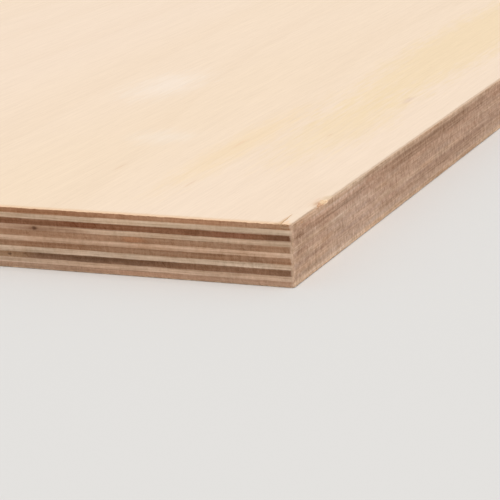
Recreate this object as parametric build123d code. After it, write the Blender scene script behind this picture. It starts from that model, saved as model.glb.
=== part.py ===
from build123d import *
import os

# A birch plywood sheet lying flat: thin rotary-cut veneers, glued with the grain of each across the next,
# sawn square on all four sides and sanded on both faces. Millimetres, +Z up, with the origin in the middle
# of the underside. The grain of the face runs along Y, so the front and back edges cut the long plies
# across their grain, and the left and right edges cut the crossbands across theirs.

# The sheet
SHEET_WIDTH = 1525.0  # along X, across the grain of the face
SHEET_LENGTH = 1525.0  # along Y, with the grain of the face
CORNER_WEAR = 0.5  # radius that handling has worn on the four upright corners

# The veneers
FACE_THICKNESS = 1.35  # face and back veneers, which sanding has thinned
LONG_THICKNESS = 1.475  # inner plies with their grain along Y
CROSS_THICKNESS = 1.28  # crossbands, with their grain along X
CROSSBANDS = 5  # an inner long ply lies between each two of them

# A split in the face veneer, along the grain, open at the front edge
SPLIT_FROM_SIDE = 3.05  # from the right edge to the middle of its mouth
SPLIT_DRIFT = 0.5  # how much further from the right edge its inner end lies
SPLIT_MOUTH = 0.35
SPLIT_LENGTH = 10.0
SPLIT_DEPTH = 0.9

# The split's right lip, which a crack that opens at the front edge has lifted off the wood below
LIP_WIDTH = 1.9
LIP_LENGTH = 4.5
LIP_THICKNESS = 0.3  # beside the split; the crack rises to half that depth at its far side
CRACK_GAPE = 0.2  # height of the crack's mouth, beside the split

# A chip torn out of the face veneer's right arris, along the grain
CHIP_FROM_FRONT = 16.5  # from the front edge to the thin end of the chip
CHIP_LENGTH = 8.0
CHIP_WIDTH = 1.5
CHIP_DEPTH = 0.5

CUTTER_OVERRUN = 1.0  # how far a cutter reaches past the edge that it opens


def lay_up():
    """The veneers from the face down, each as its name and thickness."""
    plies = [("face_veneer", FACE_THICKNESS)]
    for band in range(1, CROSSBANDS + 1):
        plies.append((f"crossband_{band}", CROSS_THICKNESS))
        if band < CROSSBANDS:
            plies.append((f"long_ply_{band}", LONG_THICKNESS))
    plies.append(("back_veneer", FACE_THICKNESS))
    return plies


def veneer(thickness, top):
    """One veneer as sawn to the sheet's outline, hung down from the height of its upper surface."""
    outline = RectangleRounded(SHEET_WIDTH, SHEET_LENGTH, CORNER_WEAR)
    return Pos(0, 0, top) * extrude(outline, -thickness)


def wedge(section, section_y, tip, overrun=0.0):
    """A wedge of air from a flat section, given as (x, z) corners at section_y, to its tip, which lies behind
    it. Its sides run on in front of the section by the overrun."""
    tip_x, tip_y, tip_z = tip
    grown = 1 + overrun / (tip_y - section_y)
    corners = [(tip_x + (x - tip_x) * grown, tip_z + (z - tip_z) * grown) for x, z in section]
    upright = Rot(90, 0, 0) * Polyline(*corners, close=True)
    base = Pos(0, section_y - overrun, 0) * make_face(upright)
    return loft([base, Vertex(*tip)])


def split_cutter(top):
    """The split: widest and deepest at the front edge, closing along the grain."""
    x = SHEET_WIDTH / 2 - SPLIT_FROM_SIDE
    front = -SHEET_LENGTH / 2
    mouth = [(x - SPLIT_MOUTH / 2, top), (x + SPLIT_MOUTH / 2, top), (x, top - SPLIT_DEPTH)]
    return wedge(mouth, front, (x - SPLIT_DRIFT, front + SPLIT_LENGTH, top), CUTTER_OVERRUN)


def crack_cutter(top):
    """The crack under the split's right lip: widest beside the split, closing sideways and along the grain."""
    x = SHEET_WIDTH / 2 - SPLIT_FROM_SIDE
    front = -SHEET_LENGTH / 2
    roof = top - LIP_THICKNESS
    mouth = [(x, roof), (x + LIP_WIDTH, top - LIP_THICKNESS / 2), (x, roof - CRACK_GAPE)]
    split_at_tip = x - SPLIT_DRIFT * LIP_LENGTH / SPLIT_LENGTH
    return wedge(mouth, front, (split_at_tip, front + LIP_LENGTH, roof), CUTTER_OVERRUN)


def chip_cutter(top):
    """The chip gone from the right arris: thin at its front end, broken off square at its far end."""
    side = SHEET_WIDTH / 2
    near_end = -SHEET_LENGTH / 2 + CHIP_FROM_FRONT
    section = [(side - CHIP_WIDTH, top), (side, top - CHIP_DEPTH), (side + CHIP_WIDTH, top + CHIP_DEPTH)]
    return mirror(wedge(section, -near_end - CHIP_LENGTH, (side, -near_end, top)), Plane.XZ)


def build():
    """The solids by name, from the face down."""
    plies = lay_up()
    sheet_thickness = sum(thickness for _, thickness in plies)
    solids = {}
    top = sheet_thickness
    for name, thickness in plies:
        solids[name] = veneer(thickness, top)
        top -= thickness
    for cutter in (split_cutter, crack_cutter, chip_cutter):
        solids["face_veneer"] -= cutter(sheet_thickness)
    return solids


os.makedirs("parts", exist_ok=True)
for name, solid in build().items():
    export_step(solid, f"parts/{name}.step")
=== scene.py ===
import math
import random
from collections import namedtuple

import bmesh
import bpy
from mathutils import Matrix, Vector, noise


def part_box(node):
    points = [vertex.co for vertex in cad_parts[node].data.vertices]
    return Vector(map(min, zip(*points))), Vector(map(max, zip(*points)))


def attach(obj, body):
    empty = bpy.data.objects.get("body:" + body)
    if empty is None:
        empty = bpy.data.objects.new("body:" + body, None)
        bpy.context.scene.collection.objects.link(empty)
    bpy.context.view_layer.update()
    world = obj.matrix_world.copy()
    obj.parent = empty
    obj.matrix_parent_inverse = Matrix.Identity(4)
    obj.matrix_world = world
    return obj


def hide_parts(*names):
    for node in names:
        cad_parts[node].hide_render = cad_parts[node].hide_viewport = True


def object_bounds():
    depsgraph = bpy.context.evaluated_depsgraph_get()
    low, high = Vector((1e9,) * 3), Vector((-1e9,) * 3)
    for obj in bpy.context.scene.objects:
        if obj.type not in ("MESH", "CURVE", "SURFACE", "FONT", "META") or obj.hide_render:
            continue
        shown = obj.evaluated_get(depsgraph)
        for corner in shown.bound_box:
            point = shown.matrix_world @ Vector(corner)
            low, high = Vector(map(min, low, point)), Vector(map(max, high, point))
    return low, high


bl_info = {
    "name": "Plywood Sheet",
    "version": (1, 0, 0),
    "blender": (4, 5, 0),
    "location": "View3D > Sidebar > Plywood",
    "description": "A birch plywood sheet: sanded faces, sawn edges, glue lines and a damaged corner",
    "category": "Object",
}

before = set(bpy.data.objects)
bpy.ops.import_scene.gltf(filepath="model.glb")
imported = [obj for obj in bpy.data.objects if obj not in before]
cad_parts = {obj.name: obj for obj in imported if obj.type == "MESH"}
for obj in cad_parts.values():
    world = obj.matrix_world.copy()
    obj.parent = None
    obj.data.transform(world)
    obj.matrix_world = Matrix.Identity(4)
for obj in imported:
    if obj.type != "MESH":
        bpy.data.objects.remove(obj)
CAD_BOX = [list(corner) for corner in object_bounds()]

MM = 0.001
LOW, HIGH = (Vector(corner) for corner in CAD_BOX)
WIDTH, LENGTH = (HIGH - LOW).xy
# The corner that the camera looks at, at the height of the face
CORNER = Vector((HIGH.x, LOW.y, HIGH.z))
# The veneers from the face down
VENEERS = sorted(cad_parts, key=lambda node: -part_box(node)[1].z)
# The map that holds each veneer's finish, and the attribute that tells how far up its veneer a point lies
BAKE_MAP = "OFBake"
PLY_HEIGHT = "ply_height"


def colour(red, green, blue):
    """A colour as it looks on a screen, 0 to 255 a channel, in the linear values that Blender mixes."""
    shown = (red / 255, green / 255, blue / 255)
    return tuple(c / 12.92 if c <= 0.04045 else ((c + 0.055) / 1.055) ** 2.4 for c in shown)


class SheetShape(bpy.types.PropertyGroup):
    """Sizes of what sawing, gluing and handling did to the sheet."""

    corner_radius: bpy.props.FloatProperty(
        name="Corner wear", description="Radius worn on the four upright corners", default=0.5 * MM,
        unit="LENGTH",
    )
    border: bpy.props.FloatProperty(
        name="Border", description="Width of the edge strip in which the glue lines wander", default=4 * MM,
        unit="LENGTH",
    )
    arris: bpy.props.FloatProperty(
        name="Arris", description="Width of the fuzzed strip along the sharp edges of the faces",
        default=0.3 * MM, unit="LENGTH",
    )
    arris_wear: bpy.props.FloatProperty(
        name="Arris wear", description="How far the saw has fuzzed the sharp edges away", default=0.24 * MM,
        unit="LENGTH",
    )
    glue_wander: bpy.props.FloatProperty(
        name="Glue line wander", description="How far a glue line strays up and down along an edge",
        default=0.11 * MM, unit="LENGTH",
    )
    saw_relief: bpy.props.FloatProperty(
        name="Saw relief", description="Depth of the roughness that the saw left on end grain",
        default=0.08 * MM, unit="LENGTH",
    )
    fine_step: bpy.props.FloatProperty(
        name="Fine step", description="Length of mesh steps along the edges near the damaged corner",
        default=0.35 * MM, unit="LENGTH",
    )
    coarse_step: bpy.props.FloatProperty(
        name="Coarse step", description="Length of mesh steps along the rest of the edges", default=4 * MM,
        unit="LENGTH",
    )
    fine_front: bpy.props.FloatProperty(
        name="Fine front", description="Length of the front edge, from the damaged corner, with fine steps",
        default=85 * MM, unit="LENGTH",
    )
    fine_side: bpy.props.FloatProperty(
        name="Fine side", description="Length of the right edge, from the damaged corner, with fine steps",
        default=180 * MM, unit="LENGTH",
    )
    split_from_side: bpy.props.FloatProperty(
        name="Split from side", description="From the right edge to the mouth of the split",
        default=3.05 * MM, unit="LENGTH",
    )
    split_drift: bpy.props.FloatProperty(
        name="Split drift", description="How much further from the right edge the split's inner end lies",
        default=0.5 * MM, unit="LENGTH",
    )
    split_mouth: bpy.props.FloatProperty(
        name="Split mouth", description="Width of the split at the front edge", default=0.35 * MM,
        unit="LENGTH",
    )
    split_length: bpy.props.FloatProperty(
        name="Split length", description="Length of the split along the grain", default=10 * MM,
        unit="LENGTH",
    )
    split_depth: bpy.props.FloatProperty(
        name="Split depth", description="Depth of the split at the front edge", default=0.9 * MM,
        unit="LENGTH",
    )
    lip_width: bpy.props.FloatProperty(
        name="Lip width", description="Width of the lifted lip beside the split", default=1.9 * MM,
        unit="LENGTH",
    )
    lip_length: bpy.props.FloatProperty(
        name="Lip length", description="Length of the crack under the lifted lip", default=4.5 * MM,
        unit="LENGTH",
    )
    lip_thickness: bpy.props.FloatProperty(
        name="Lip thickness", description="Thickness of the lifted lip beside the split", default=0.3 * MM,
        unit="LENGTH",
    )
    lip_lift: bpy.props.FloatProperty(
        name="Lip lift", description="How far the lip stands up at the front edge", default=0.1 * MM,
        unit="LENGTH",
    )
    crack_gape: bpy.props.FloatProperty(
        name="Crack gape", description="Height of the mouth of the crack under the lip", default=0.2 * MM,
        unit="LENGTH",
    )
    chip_from_front: bpy.props.FloatProperty(
        name="Chip from front", description="From the front edge to the chip in the right arris",
        default=16.5 * MM, unit="LENGTH",
    )
    chip_length: bpy.props.FloatProperty(
        name="Chip length", description="Length of the chip along the right arris", default=8 * MM,
        unit="LENGTH",
    )
    chip_width: bpy.props.FloatProperty(
        name="Chip width", description="How far the chip reaches in from the right edge", default=1.5 * MM,
        unit="LENGTH",
    )
    chip_depth: bpy.props.FloatProperty(
        name="Chip depth", description="How far the chip reaches down the right edge", default=0.5 * MM,
        unit="LENGTH",
    )
    chip_widest: bpy.props.FloatProperty(
        name="Chip widest", description="How far along its length the chip is widest", default=0.86,
        subtype="FACTOR",
    )
    fibre_seed: bpy.props.IntProperty(
        name="Fibre seed", description="Another number lays the loose fibres another way", default=7
    )


class SheetFinish(bpy.types.PropertyGroup):
    """Colours of the wood."""

    face: bpy.props.FloatVectorProperty(
        name="Face", description="Sanded birch of the face and back", subtype="COLOR",
        default=colour(249, 226, 202),
    )
    face_warm: bpy.props.FloatVectorProperty(
        name="Warm streak", description="Yellower wood in bands along the grain of the face",
        subtype="COLOR", default=colour(246, 220, 180),
    )
    growth_line: bpy.props.FloatVectorProperty(
        name="Growth line", description="The late wood that draws the figure of the face", subtype="COLOR",
        default=colour(226, 196, 160),
    )
    arris: bpy.props.FloatVectorProperty(
        name="Arris", description="The last strip of the faces, along the front and back edges",
        subtype="COLOR", default=colour(242, 205, 168),
    )
    # Painted shade: the right and left arrises are rounded, and this darker colour stands in for the shade
    # on the rounding
    side_arris_shade: bpy.props.FloatVectorProperty(
        name="Side arris shade", description="The last strip of the faces, along the right and left edges",
        subtype="COLOR", default=colour(204, 174, 146),
    )
    torn: bpy.props.FloatVectorProperty(
        name="Torn wood", description="Fresh wood inside the chip and of the loose fibres", subtype="COLOR",
        default=colour(229, 197, 159),
    )
    split: bpy.props.FloatVectorProperty(
        name="Split wood", description="The walls of the split and of the crack under its lip",
        subtype="COLOR", default=colour(220, 186, 148),
    )
    frayed: bpy.props.FloatVectorProperty(
        name="Frayed corner", description="Frayed fibres along the upright corners", subtype="COLOR",
        default=colour(203, 170, 144),
    )
    glued: bpy.props.FloatVectorProperty(
        name="Glued face", description="The faces that lie hidden between the veneers", subtype="COLOR",
        default=colour(205, 176, 142),
    )


class SheetStudio(bpy.types.PropertyGroup):
    """The floor, the light and the camera."""

    floor: bpy.props.FloatVectorProperty(
        name="Floor", description="Colour of the floor", subtype="COLOR", default=colour(226, 224, 221)
    )
    floor_size: bpy.props.FloatProperty(
        name="Floor size", description="Side of the square floor", default=16.0, unit="LENGTH"
    )
    sky: bpy.props.FloatProperty(
        name="Sky", description="Strength of the even light from all around", default=0.50, min=0.0
    )
    lamp: bpy.props.FloatProperty(
        name="Lamp", description="Light that the soft lamp overhead gives to the face", default=1.85,
        min=0.0,
    )
    lamp_spread: bpy.props.FloatProperty(
        name="Lamp spread", description="How wide the lamp looks from the sheet", default=math.radians(60),
        subtype="ANGLE",
    )
    lamp_lean: bpy.props.FloatProperty(
        name="Lamp lean", description="How far the lamp stands from straight overhead",
        default=math.radians(28), subtype="ANGLE",
    )
    lamp_turn: bpy.props.FloatProperty(
        name="Lamp turn", description="Direction that the lamp leans to, from the front towards the right",
        default=math.radians(60), subtype="ANGLE",
    )
    camera_offset: bpy.props.FloatVectorProperty(
        name="Camera offset", description="From the damaged corner to the camera", size=3,
        default=(171.12 * MM, -446.49 * MM, 123.90 * MM), subtype="TRANSLATION", unit="LENGTH",
    )
    camera_turn: bpy.props.FloatProperty(
        name="Camera turn", description="Turn of the view to the left", default=math.radians(22.154),
        subtype="ANGLE",
    )
    camera_dip: bpy.props.FloatProperty(
        name="Camera dip", description="How far the camera looks down", default=math.radians(15.150),
        subtype="ANGLE",
    )
    camera_roll: bpy.props.FloatProperty(
        name="Camera roll", description="Tilt of the camera about its own view",
        default=math.radians(-2.142), subtype="ANGLE",
    )
    lens: bpy.props.FloatProperty(
        name="Lens", description="Focal length on a 36 mm sensor, in millimetres", default=156.36, min=1.0
    )


# Tones of the front and back edges, from the face down: dark end grain by pale side grain
FRONT_TONES = {
    "face_veneer": colour(176, 129, 96),
    "crossband_1": colour(210, 181, 153),
    "long_ply_1": colour(138, 94, 66),
    "crossband_2": colour(207, 175, 147),
    "long_ply_2": colour(167, 128, 99),
    "crossband_3": colour(207, 171, 143),
    "long_ply_3": colour(160, 121, 92),
    "crossband_4": colour(208, 179, 153),
    "long_ply_4": colour(134, 98, 73),
    "crossband_5": colour(204, 172, 146),
    "back_veneer": colour(188, 150, 124),
}
# Tones of the right and left edges, where the crossbands show their end grain and the saw tore more
RIGHT_TONES = {
    "face_veneer": colour(192, 158, 131),
    "crossband_1": colour(189, 151, 126),
    "long_ply_1": colour(180, 144, 119),
    "crossband_2": colour(184, 149, 125),
    "long_ply_2": colour(193, 159, 133),
    "crossband_3": colour(186, 152, 129),
    "long_ply_3": colour(193, 159, 133),
    "crossband_4": colour(191, 158, 136),
    "long_ply_4": colour(192, 158, 132),
    "crossband_5": colour(193, 162, 140),
    "back_veneer": colour(209, 177, 148),
}

# How each pair of edges was cut: crisply across the face's grain, and torn along it. The fields are how far
# the tone changes, the saw's scores, the torn specks, the painted shade of the small gaps at the glue
# lines, how far neighbours smear, how much corners fray and, in millimetres, where the roughest spot is
# (from the corner and below the face) and half its length and height
Cut = namedtuple("Cut", "tones, drift, scores, specks, line, smear, frayed, rough")
CUTS = {
    "front": Cut(FRONT_TONES, 0.24, 0.09, 0.40, 0.30, 0.14 * MM, 0.80, (10, 9.6, 10, 4)),
    "right": Cut(RIGHT_TONES, 0.26, 0.22, 0.90, 0.08, 0.45 * MM, 0.35, (5.2, 3.4, 3.6, 3.2)),
}

# Knots, stains, torn spots, thin lines and darker stretches on an edge near the damaged corner, by veneer,
# some of
# them painted shade, in millimetres: how far from the corner and below the face, half the length and
# height, how soft, how strong, the colour as it looks
Mark = namedtuple("Mark", "along, down, long, high, softness, strength, tone")
MARKS = {
    "front": {
        "face_veneer": (
            (61, 0.7, 30.0, 1.2, 0.9, 0.80, (152, 104, 70)),
            (10, 0.7, 12.0, 1.2, 0.9, 0.40, (190, 152, 122)),
            (3.5, 1.0, 8.0, 1.2, 0.9, 0.25, (160, 122, 90)),
            # Painted shade: a thin dark line in the small gap between the face and the first crossband
            (6.6, 1.28, 3.0, 0.16, 0.8, 0.60, (104, 74, 48)),
            (1.9, 0.85, 1.7, 0.45, 0.8, 0.75, (188, 154, 124)),
        ),
        "crossband_1": (
            (14, 2.0, 20.0, 1.2, 0.8, 0.45, (220, 194, 168)),
            (64, 2.0, 20.0, 1.2, 0.8, 0.45, (180, 146, 118)),
        ),
        "long_ply_1": (
            (3.5, 3.4, 5.5, 1.4, 0.7, 0.60, (108, 72, 48)),
            (15, 3.4, 7.0, 1.4, 0.8, 0.45, (144, 92, 68)),
            (13, 2.70, 14.0, 0.16, 0.5, 0.70, (184, 152, 128)),
            (25, 3.4, 5.0, 1.4, 0.8, 0.45, (116, 76, 48)),
            (55, 3.4, 9.0, 1.4, 0.8, 0.55, (134, 78, 50)),
            (69.7, 2.9, 0.9, 0.3, 0.8, 0.70, (94, 58, 40)),
        ),
        "crossband_2": (
            (66, 4.8, 20.0, 2.2, 0.6, 0.85, (170, 132, 105)),
            (67, 5.1, 9.0, 0.22, 0.8, 0.45, (140, 100, 77)),
            (10, 4.18, 14.0, 0.18, 0.6, 0.55, (140, 104, 80)),
            (49, 4.18, 10.0, 0.18, 0.6, 0.65, (136, 100, 78)),
            (66.2, 4.85, 2.6, 0.9, 0.9, 0.75, (142, 100, 72)),
            (66.1, 4.90, 1.0, 0.74, 0.8, 0.90, (94, 62, 42)),
        ),
        "long_ply_2": (
            (40.5, 6.1, 4.0, 1.2, 0.7, 0.60, (176, 120, 82)),
        ),
        "long_ply_3": (
            (8, 8.9, 10.0, 1.2, 0.8, 0.40, (144, 110, 86)),
            (20, 8.5, 9.0, 0.45, 0.9, 0.60, (134, 96, 68)),
            (62, 8.5, 14.0, 0.40, 0.9, 0.50, (142, 100, 72)),
        ),
        "long_ply_4": (
            (74, 11.6, 9.0, 1.6, 0.6, 0.80, (160, 124, 92)),
            (50, 11.6, 24.0, 1.6, 0.8, 0.65, (100, 72, 51)),
            (73.2, 11.7, 0.75, 0.42, 0.7, 0.80, (92, 64, 42)),
            (69.1, 11.4, 0.55, 0.30, 0.7, 0.60, (104, 74, 52)),
        ),
        "crossband_5": (
            (8, 13.0, 12.0, 1.4, 0.8, 0.45, (222, 184, 156)),
            (62, 13.0, 20.0, 1.4, 0.8, 0.50, (184, 152, 125)),
        ),
        "back_veneer": (
            (50, 13.76, 28.0, 0.18, 0.6, 0.65, (146, 112, 88)),
            (62, 14.3, 20.0, 1.4, 0.8, 0.50, (160, 130, 106)),
        ),
    },
    "right": {
        "every veneer": (
            (6, 5.5, 7.5, 9.0, 0.8, 0.35, (158, 122, 96)),
            (45, 7.5, 24.0, 9.0, 0.8, 0.30, (198, 172, 156)),
            (12, 5.70, 9.0, 0.62, 0.9, 0.45, (220, 188, 160)),
            (38, 5.65, 20.0, 0.62, 0.9, 0.55, (224, 196, 174)),
        ),
        "face_veneer": (
            (6, 0.9, 1.0, 0.22, 0.8, 0.80, (206, 146, 100)),
            (17.0, 0.22, 0.9, 0.28, 0.8, 0.75, (168, 120, 84)),
            (42, 0.3, 20.0, 0.6, 0.8, 0.80, (212, 185, 159)),
        ),
        "crossband_1": (
            (5.0, 2.5, 3.0, 0.9, 0.8, 0.55, (150, 114, 86)),
            (34, 1.65, 32.0, 0.45, 0.8, 0.65, (216, 188, 166)),
            (115, 2.1, 66.0, 1.6, 0.6, 0.85, (152, 118, 92)),
        ),
        "long_ply_1": (
            (4.5, 3.3, 2.8, 0.9, 0.8, 0.35, (140, 106, 80)),
            (42, 3.3, 17.0, 1.2, 0.8, 0.65, (154, 122, 98)),
            (80, 2.80, 80.0, 0.30, 0.8, 0.45, (138, 104, 80)),
            (110, 3.2, 62.0, 1.8, 0.6, 0.75, (156, 121, 95)),
        ),
        "long_ply_2": (
            (7, 6.1, 7.0, 1.2, 0.8, 0.60, (200, 164, 137)),
            (14, 6.70, 18.0, 0.34, 0.8, 0.70, (158, 124, 102)),
            (120, 6.1, 66.0, 1.8, 0.6, 0.55, (172, 138, 115)),
        ),
        "crossband_3": (
            (5, 7.5, 7.0, 1.2, 0.8, 0.50, (156, 118, 92)),
        ),
        "long_ply_3": (
            (6, 8.30, 6.0, 0.34, 0.8, 0.75, (164, 122, 94)),
            (160, 8.9, 40.0, 1.8, 0.8, 0.70, (170, 136, 114)),
        ),
        "crossband_4": (
            (17, 10.2, 14.0, 1.2, 0.8, 0.50, (158, 124, 98)),
            (135, 10.2, 75.0, 1.8, 0.7, 0.85, (162, 128, 105)),
        ),
        "long_ply_4": (
            (40, 11.6, 24.0, 1.2, 0.8, 0.45, (172, 140, 118)),
            (120, 11.6, 75.0, 1.8, 0.6, 0.80, (166, 132, 108)),
        ),
        "crossband_5": (
            (12, 12.8, 14.0, 1.2, 0.8, 0.50, (170, 140, 113)),
        ),
        "back_veneer": (
            (15, 14.0, 16.0, 1.4, 0.8, 0.60, (216, 180, 150)),
            (26, 14.00, 34.0, 0.55, 0.9, 0.60, (232, 208, 188)),
            # Painted shadow: darker along the bottom of the back veneer far along the right edge, for the
            # gap under the sheet
            (125, 14.4, 75.0, 1.2, 0.8, 0.60, (174, 138, 110)),
        ),
    },
}

# Bands, flecks, stains and a strip of painted shade on the face, in millimetres: how far from the right
# edge and from the front one, half the width and length, how soft, how strong, the colour as it looks
FaceMark = namedtuple("FaceMark", "side, front, wide, long, softness, strength, tone")
FACE_MARKS = (
    (28, 250, 20, 175, 0.6, 0.70, (246, 220, 178)),
    (43, 78, 9, 75, 0.9, 0.75, (248, 221, 183)),
    (24, 108, 16, 70, 0.8, 0.55, (246, 220, 178)),
    (97, 150, 16, 34, 1.0, 0.60, (252, 236, 220)),
    (68, 81, 14, 14, 1.0, 0.50, (250, 234, 216)),
    (39, 32, 0.6, 6, 0.9, 0.45, (228, 190, 152)),
    (44, 78, 1.0, 9, 0.9, 0.45, (238, 200, 160)),
    (24, 93, 0.6, 4, 0.9, 0.40, (228, 190, 152)),
    (64, 45, 0.7, 6, 0.9, 0.40, (230, 196, 160)),
    (17.5, 143, 1.6, 7, 0.9, 0.50, (224, 195, 174)),
    (2.3, 1.6, 0.65, 3.4, 0.6, 0.75, (252, 214, 176)),
    (3.6, 3.4, 0.55, 6.4, 0.9, 0.65, (226, 192, 156)),
    (4.1, 0.2, 1.1, 0.9, 0.9, 0.80, (204, 168, 132)),
    (1.0, 21.0, 2.7, 6.8, 0.9, 0.65, (234, 200, 168)),
    (1.5, 20.4, 0.9, 3.6, 0.9, 0.80, (216, 178, 146)),
    (2.7, 24, 0.7, 3.0, 0.9, 0.45, (242, 206, 178)),
    (0.9, 26, 1.9, 3.4, 0.8, 0.70, (232, 204, 170)),
    # Painted shade on the rounded right arris near the corner, darker where the light falls less on the
    # rounding
    (0.1, 7.5, 0.62, 12.0, 0.5, 0.90, (192, 160, 132)),
)
# Lighter and darker patches on the torn wood inside the chip, given likewise; the thin dark one along its
# inner side is painted shade where the chip steps down from the face
CHIP_MARKS = (
    (0.5, 24.0, 0.9, 2.6, 0.8, 0.70, (252, 226, 192)),
    (0.8, 19.2, 2.4, 3.2, 0.5, 0.95, (206, 161, 128)),
    # Painted shade: a thin dark line along the chip's inner side, where it steps down from the face
    (1.7, 22.6, 0.35, 3.0, 0.8, 0.80, (196, 158, 116)),
    (0.1, 17.3, 0.5, 0.9, 0.6, 0.90, (170, 120, 84)),
)

# Half the size, in metres, of a mark in the direction that it runs right through the sheet
THROUGH = 10.0

# Features a metre along each axis, where X runs with the fibres or along the edge, and Z goes up the edge
FIBRES = (70, 2900, 2900)
STREAKS = (13, 900, 1500)
VESSELS = (210, 3400, 3400)
PORES = (3000, 500, 3000)
RAYS = (2600, 300, 260)
LAYERS = (22, 22, 1700)
KNIFE_CHECKS = (1500, 120, 170)
STRETCHES = (34, 34, 60)
WARM_STRETCHES = (46, 46, 90)
SAW_SCORES = (1150, 0, 150)
SAW_SPECKS = (1000, 1000, 800)
GLUE_RAGS = (520, 520, 2400)
GAP_SHADE_BREAKS = (120, 120, 400)
CORNER_RAGS = (1400, 1400, 900)
SWELLS = (0.55, 2.3, 1.0)
LINE_RAGS = (7, 60, 1.0)
WARM_BANDS = (0.8, 7.0, 1.0)
MARK_RAGS = (110, 1100, 1100)
# How far from a glue line the painted shade of the small gap between veneers reaches, and how raggedly the
# strips along the sheet's edges end
GAP_SHADE_WIDTH = 0.10 * MM
FRAYED_DEPTH = 0.9 * MM
# How far the lathe knife's checks lean, and the saw's scores
KNIFE_SLANT = math.radians(38)
SAW_LEAN = math.radians(7)


def runs_across(node):
    """True of the crossbands, whose grain runs along X."""
    return node.startswith("crossband")


# Shader nodes


def add_node(tree, kind, settings=None, **inputs):
    """Adds a shader node. An input goes by its name, or by its number after an underscore, and is given
    as a constant or as the output socket that feeds it."""
    node = tree.nodes.new(kind)
    for name, value in (settings or {}).items():
        setattr(node, name, value)
    for name, value in inputs.items():
        socket = node.inputs[int(name[1:])] if name[0] == "_" else node.inputs[name.replace("_", " ")]
        if isinstance(value, bpy.types.NodeSocket):
            tree.links.new(value, socket)
        elif socket.type == "RGBA" and len(value) == 3:
            socket.default_value = (*value, 1)
        else:
            socket.default_value = value
    return node


def maths(tree, operation, first, second=0.0, third=0.0):
    """One sum on two or three values."""
    node = add_node(tree, "ShaderNodeMath", {"operation": operation}, _0=first, _1=second, _2=third)
    return node.outputs[0]


def total(tree, *parts):
    """The sum of several values, each given with its weight."""
    found = 0.0
    for value, weight in parts:
        found = maths(tree, "MULTIPLY_ADD", value, weight, found)
    return found


def vector_maths(tree, operation, first, second=(0.0, 0.0, 0.0)):
    """One sum on one or two vectors."""
    node = add_node(tree, "ShaderNodeVectorMath", {"operation": operation}, _0=first, _1=second)
    return node.outputs["Value" if operation in ("LENGTH", "DISTANCE") else "Vector"]


def mapped(tree, vector, turn=(0.0, 0.0, 0.0), shift=(0.0, 0.0, 0.0)):
    """The place turned and moved."""
    node = add_node(tree, "ShaderNodeMapping", None, Vector=vector, Rotation=turn, Location=shift)
    return node.outputs[0]


def turned(tree, vector):
    """The place turned so that what ran along Y runs along X."""
    return mapped(tree, vector, turn=(0.0, 0.0, -math.pi / 2))


def moved(tree, vector, seed):
    """The place moved to a piece of wood of its own."""
    return mapped(tree, vector, shift=(seed * 0.83, seed * 1.37, seed * 0.41))


def noise_value(tree, vector, per_metre, detail=1.0, roughness=0.5):
    """Smooth noise around 0, with that many features a metre along each axis."""
    place = vector_maths(tree, "MULTIPLY", vector, per_metre)
    node = add_node(
        tree, "ShaderNodeTexNoise", None, Vector=place, Scale=1.0, Detail=detail, Roughness=roughness
    )
    return maths(tree, "SUBTRACT", node.outputs[0], 0.5)


def ramp(tree, value, low, high, to_low=0.0, to_high=1.0):
    """The value taken smoothly from one range to another."""
    settings = {"interpolation_type": "SMOOTHSTEP"}
    node = add_node(tree, "ShaderNodeMapRange", settings, _0=value, _1=low, _2=high, _3=to_low, _4=to_high)
    return node.outputs[0]


def mix(tree, amount, first, second, blend="MIX"):
    """Two colours mixed."""
    settings = {"data_type": "RGBA", "blend_type": blend}
    return add_node(tree, "ShaderNodeMix", settings, _0=amount, _6=first, _7=second).outputs[2]


def shade(tree, base, change):
    """A colour made lighter or darker by a step that looks about the same in red, green and blue."""
    darkest = (0.004, 0.004, 0.004)
    even = add_node(tree, "ShaderNodeGamma", None, Color=base, Gamma=0.58).outputs[0]
    size = maths(tree, "MULTIPLY", change, 0.6)
    step = add_node(tree, "ShaderNodeVectorMath", {"operation": "SCALE"}, _0=even, Scale=size).outputs[0]
    return vector_maths(tree, "MAXIMUM", vector_maths(tree, "ADD", base, step), darkest)


def start_group(name, inputs, outputs):
    """An empty node group and its two end nodes. An input is given with its kind, or a number with its
    default."""
    tree = bpy.data.node_groups.new(name, "ShaderNodeTree")
    for label, given in inputs.items():
        number = isinstance(given, float)
        kind = "Float" if number else given
        socket = tree.interface.new_socket(label, in_out="INPUT", socket_type=f"NodeSocket{kind}")
        if number:
            socket.default_value = given
    for label, kind in outputs.items():
        tree.interface.new_socket(label, in_out="OUTPUT", socket_type=f"NodeSocket{kind}")
    return tree, tree.nodes.new("NodeGroupInput").outputs, tree.nodes.new("NodeGroupOutput").inputs


def group(name):
    """The node group of that name, made on its first use."""
    return bpy.data.node_groups.get(name) or GROUPS[name](name)


def use_group(tree, name, **inputs):
    """Places a node group in a material, and returns its outputs."""
    return add_node(tree, "ShaderNodeGroup", {"node_tree": group(name)}, **inputs).outputs


def fibre_group(name):
    """Wood cut along its fibres, which run along X: fine streaks, broader ones and short vessel lines."""
    tree, given, out = start_group(
        name,
        {"Vector": "Vector", "Colour": "Color", "Fibres": 0.12, "Streaks": 0.1, "Vessels": 0.12},
        {"Colour": "Color", "Height": "Float"},
    )
    place = given["Vector"]
    fine = noise_value(tree, place, FIBRES, detail=2)
    broad = noise_value(tree, place, STREAKS, detail=3, roughness=0.6)
    vessel = ramp(tree, noise_value(tree, place, VESSELS), 0.12, 0.24)
    level = total(tree, (fine, given["Fibres"]), (broad, given["Streaks"]))
    level = maths(tree, "SUBTRACT", level, maths(tree, "MULTIPLY", vessel, given["Vessels"]))
    tree.links.new(shade(tree, given["Colour"], level), out["Colour"])
    tree.links.new(total(tree, (fine, 1.0), (vessel, -0.6)), out["Height"])
    return tree


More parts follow.
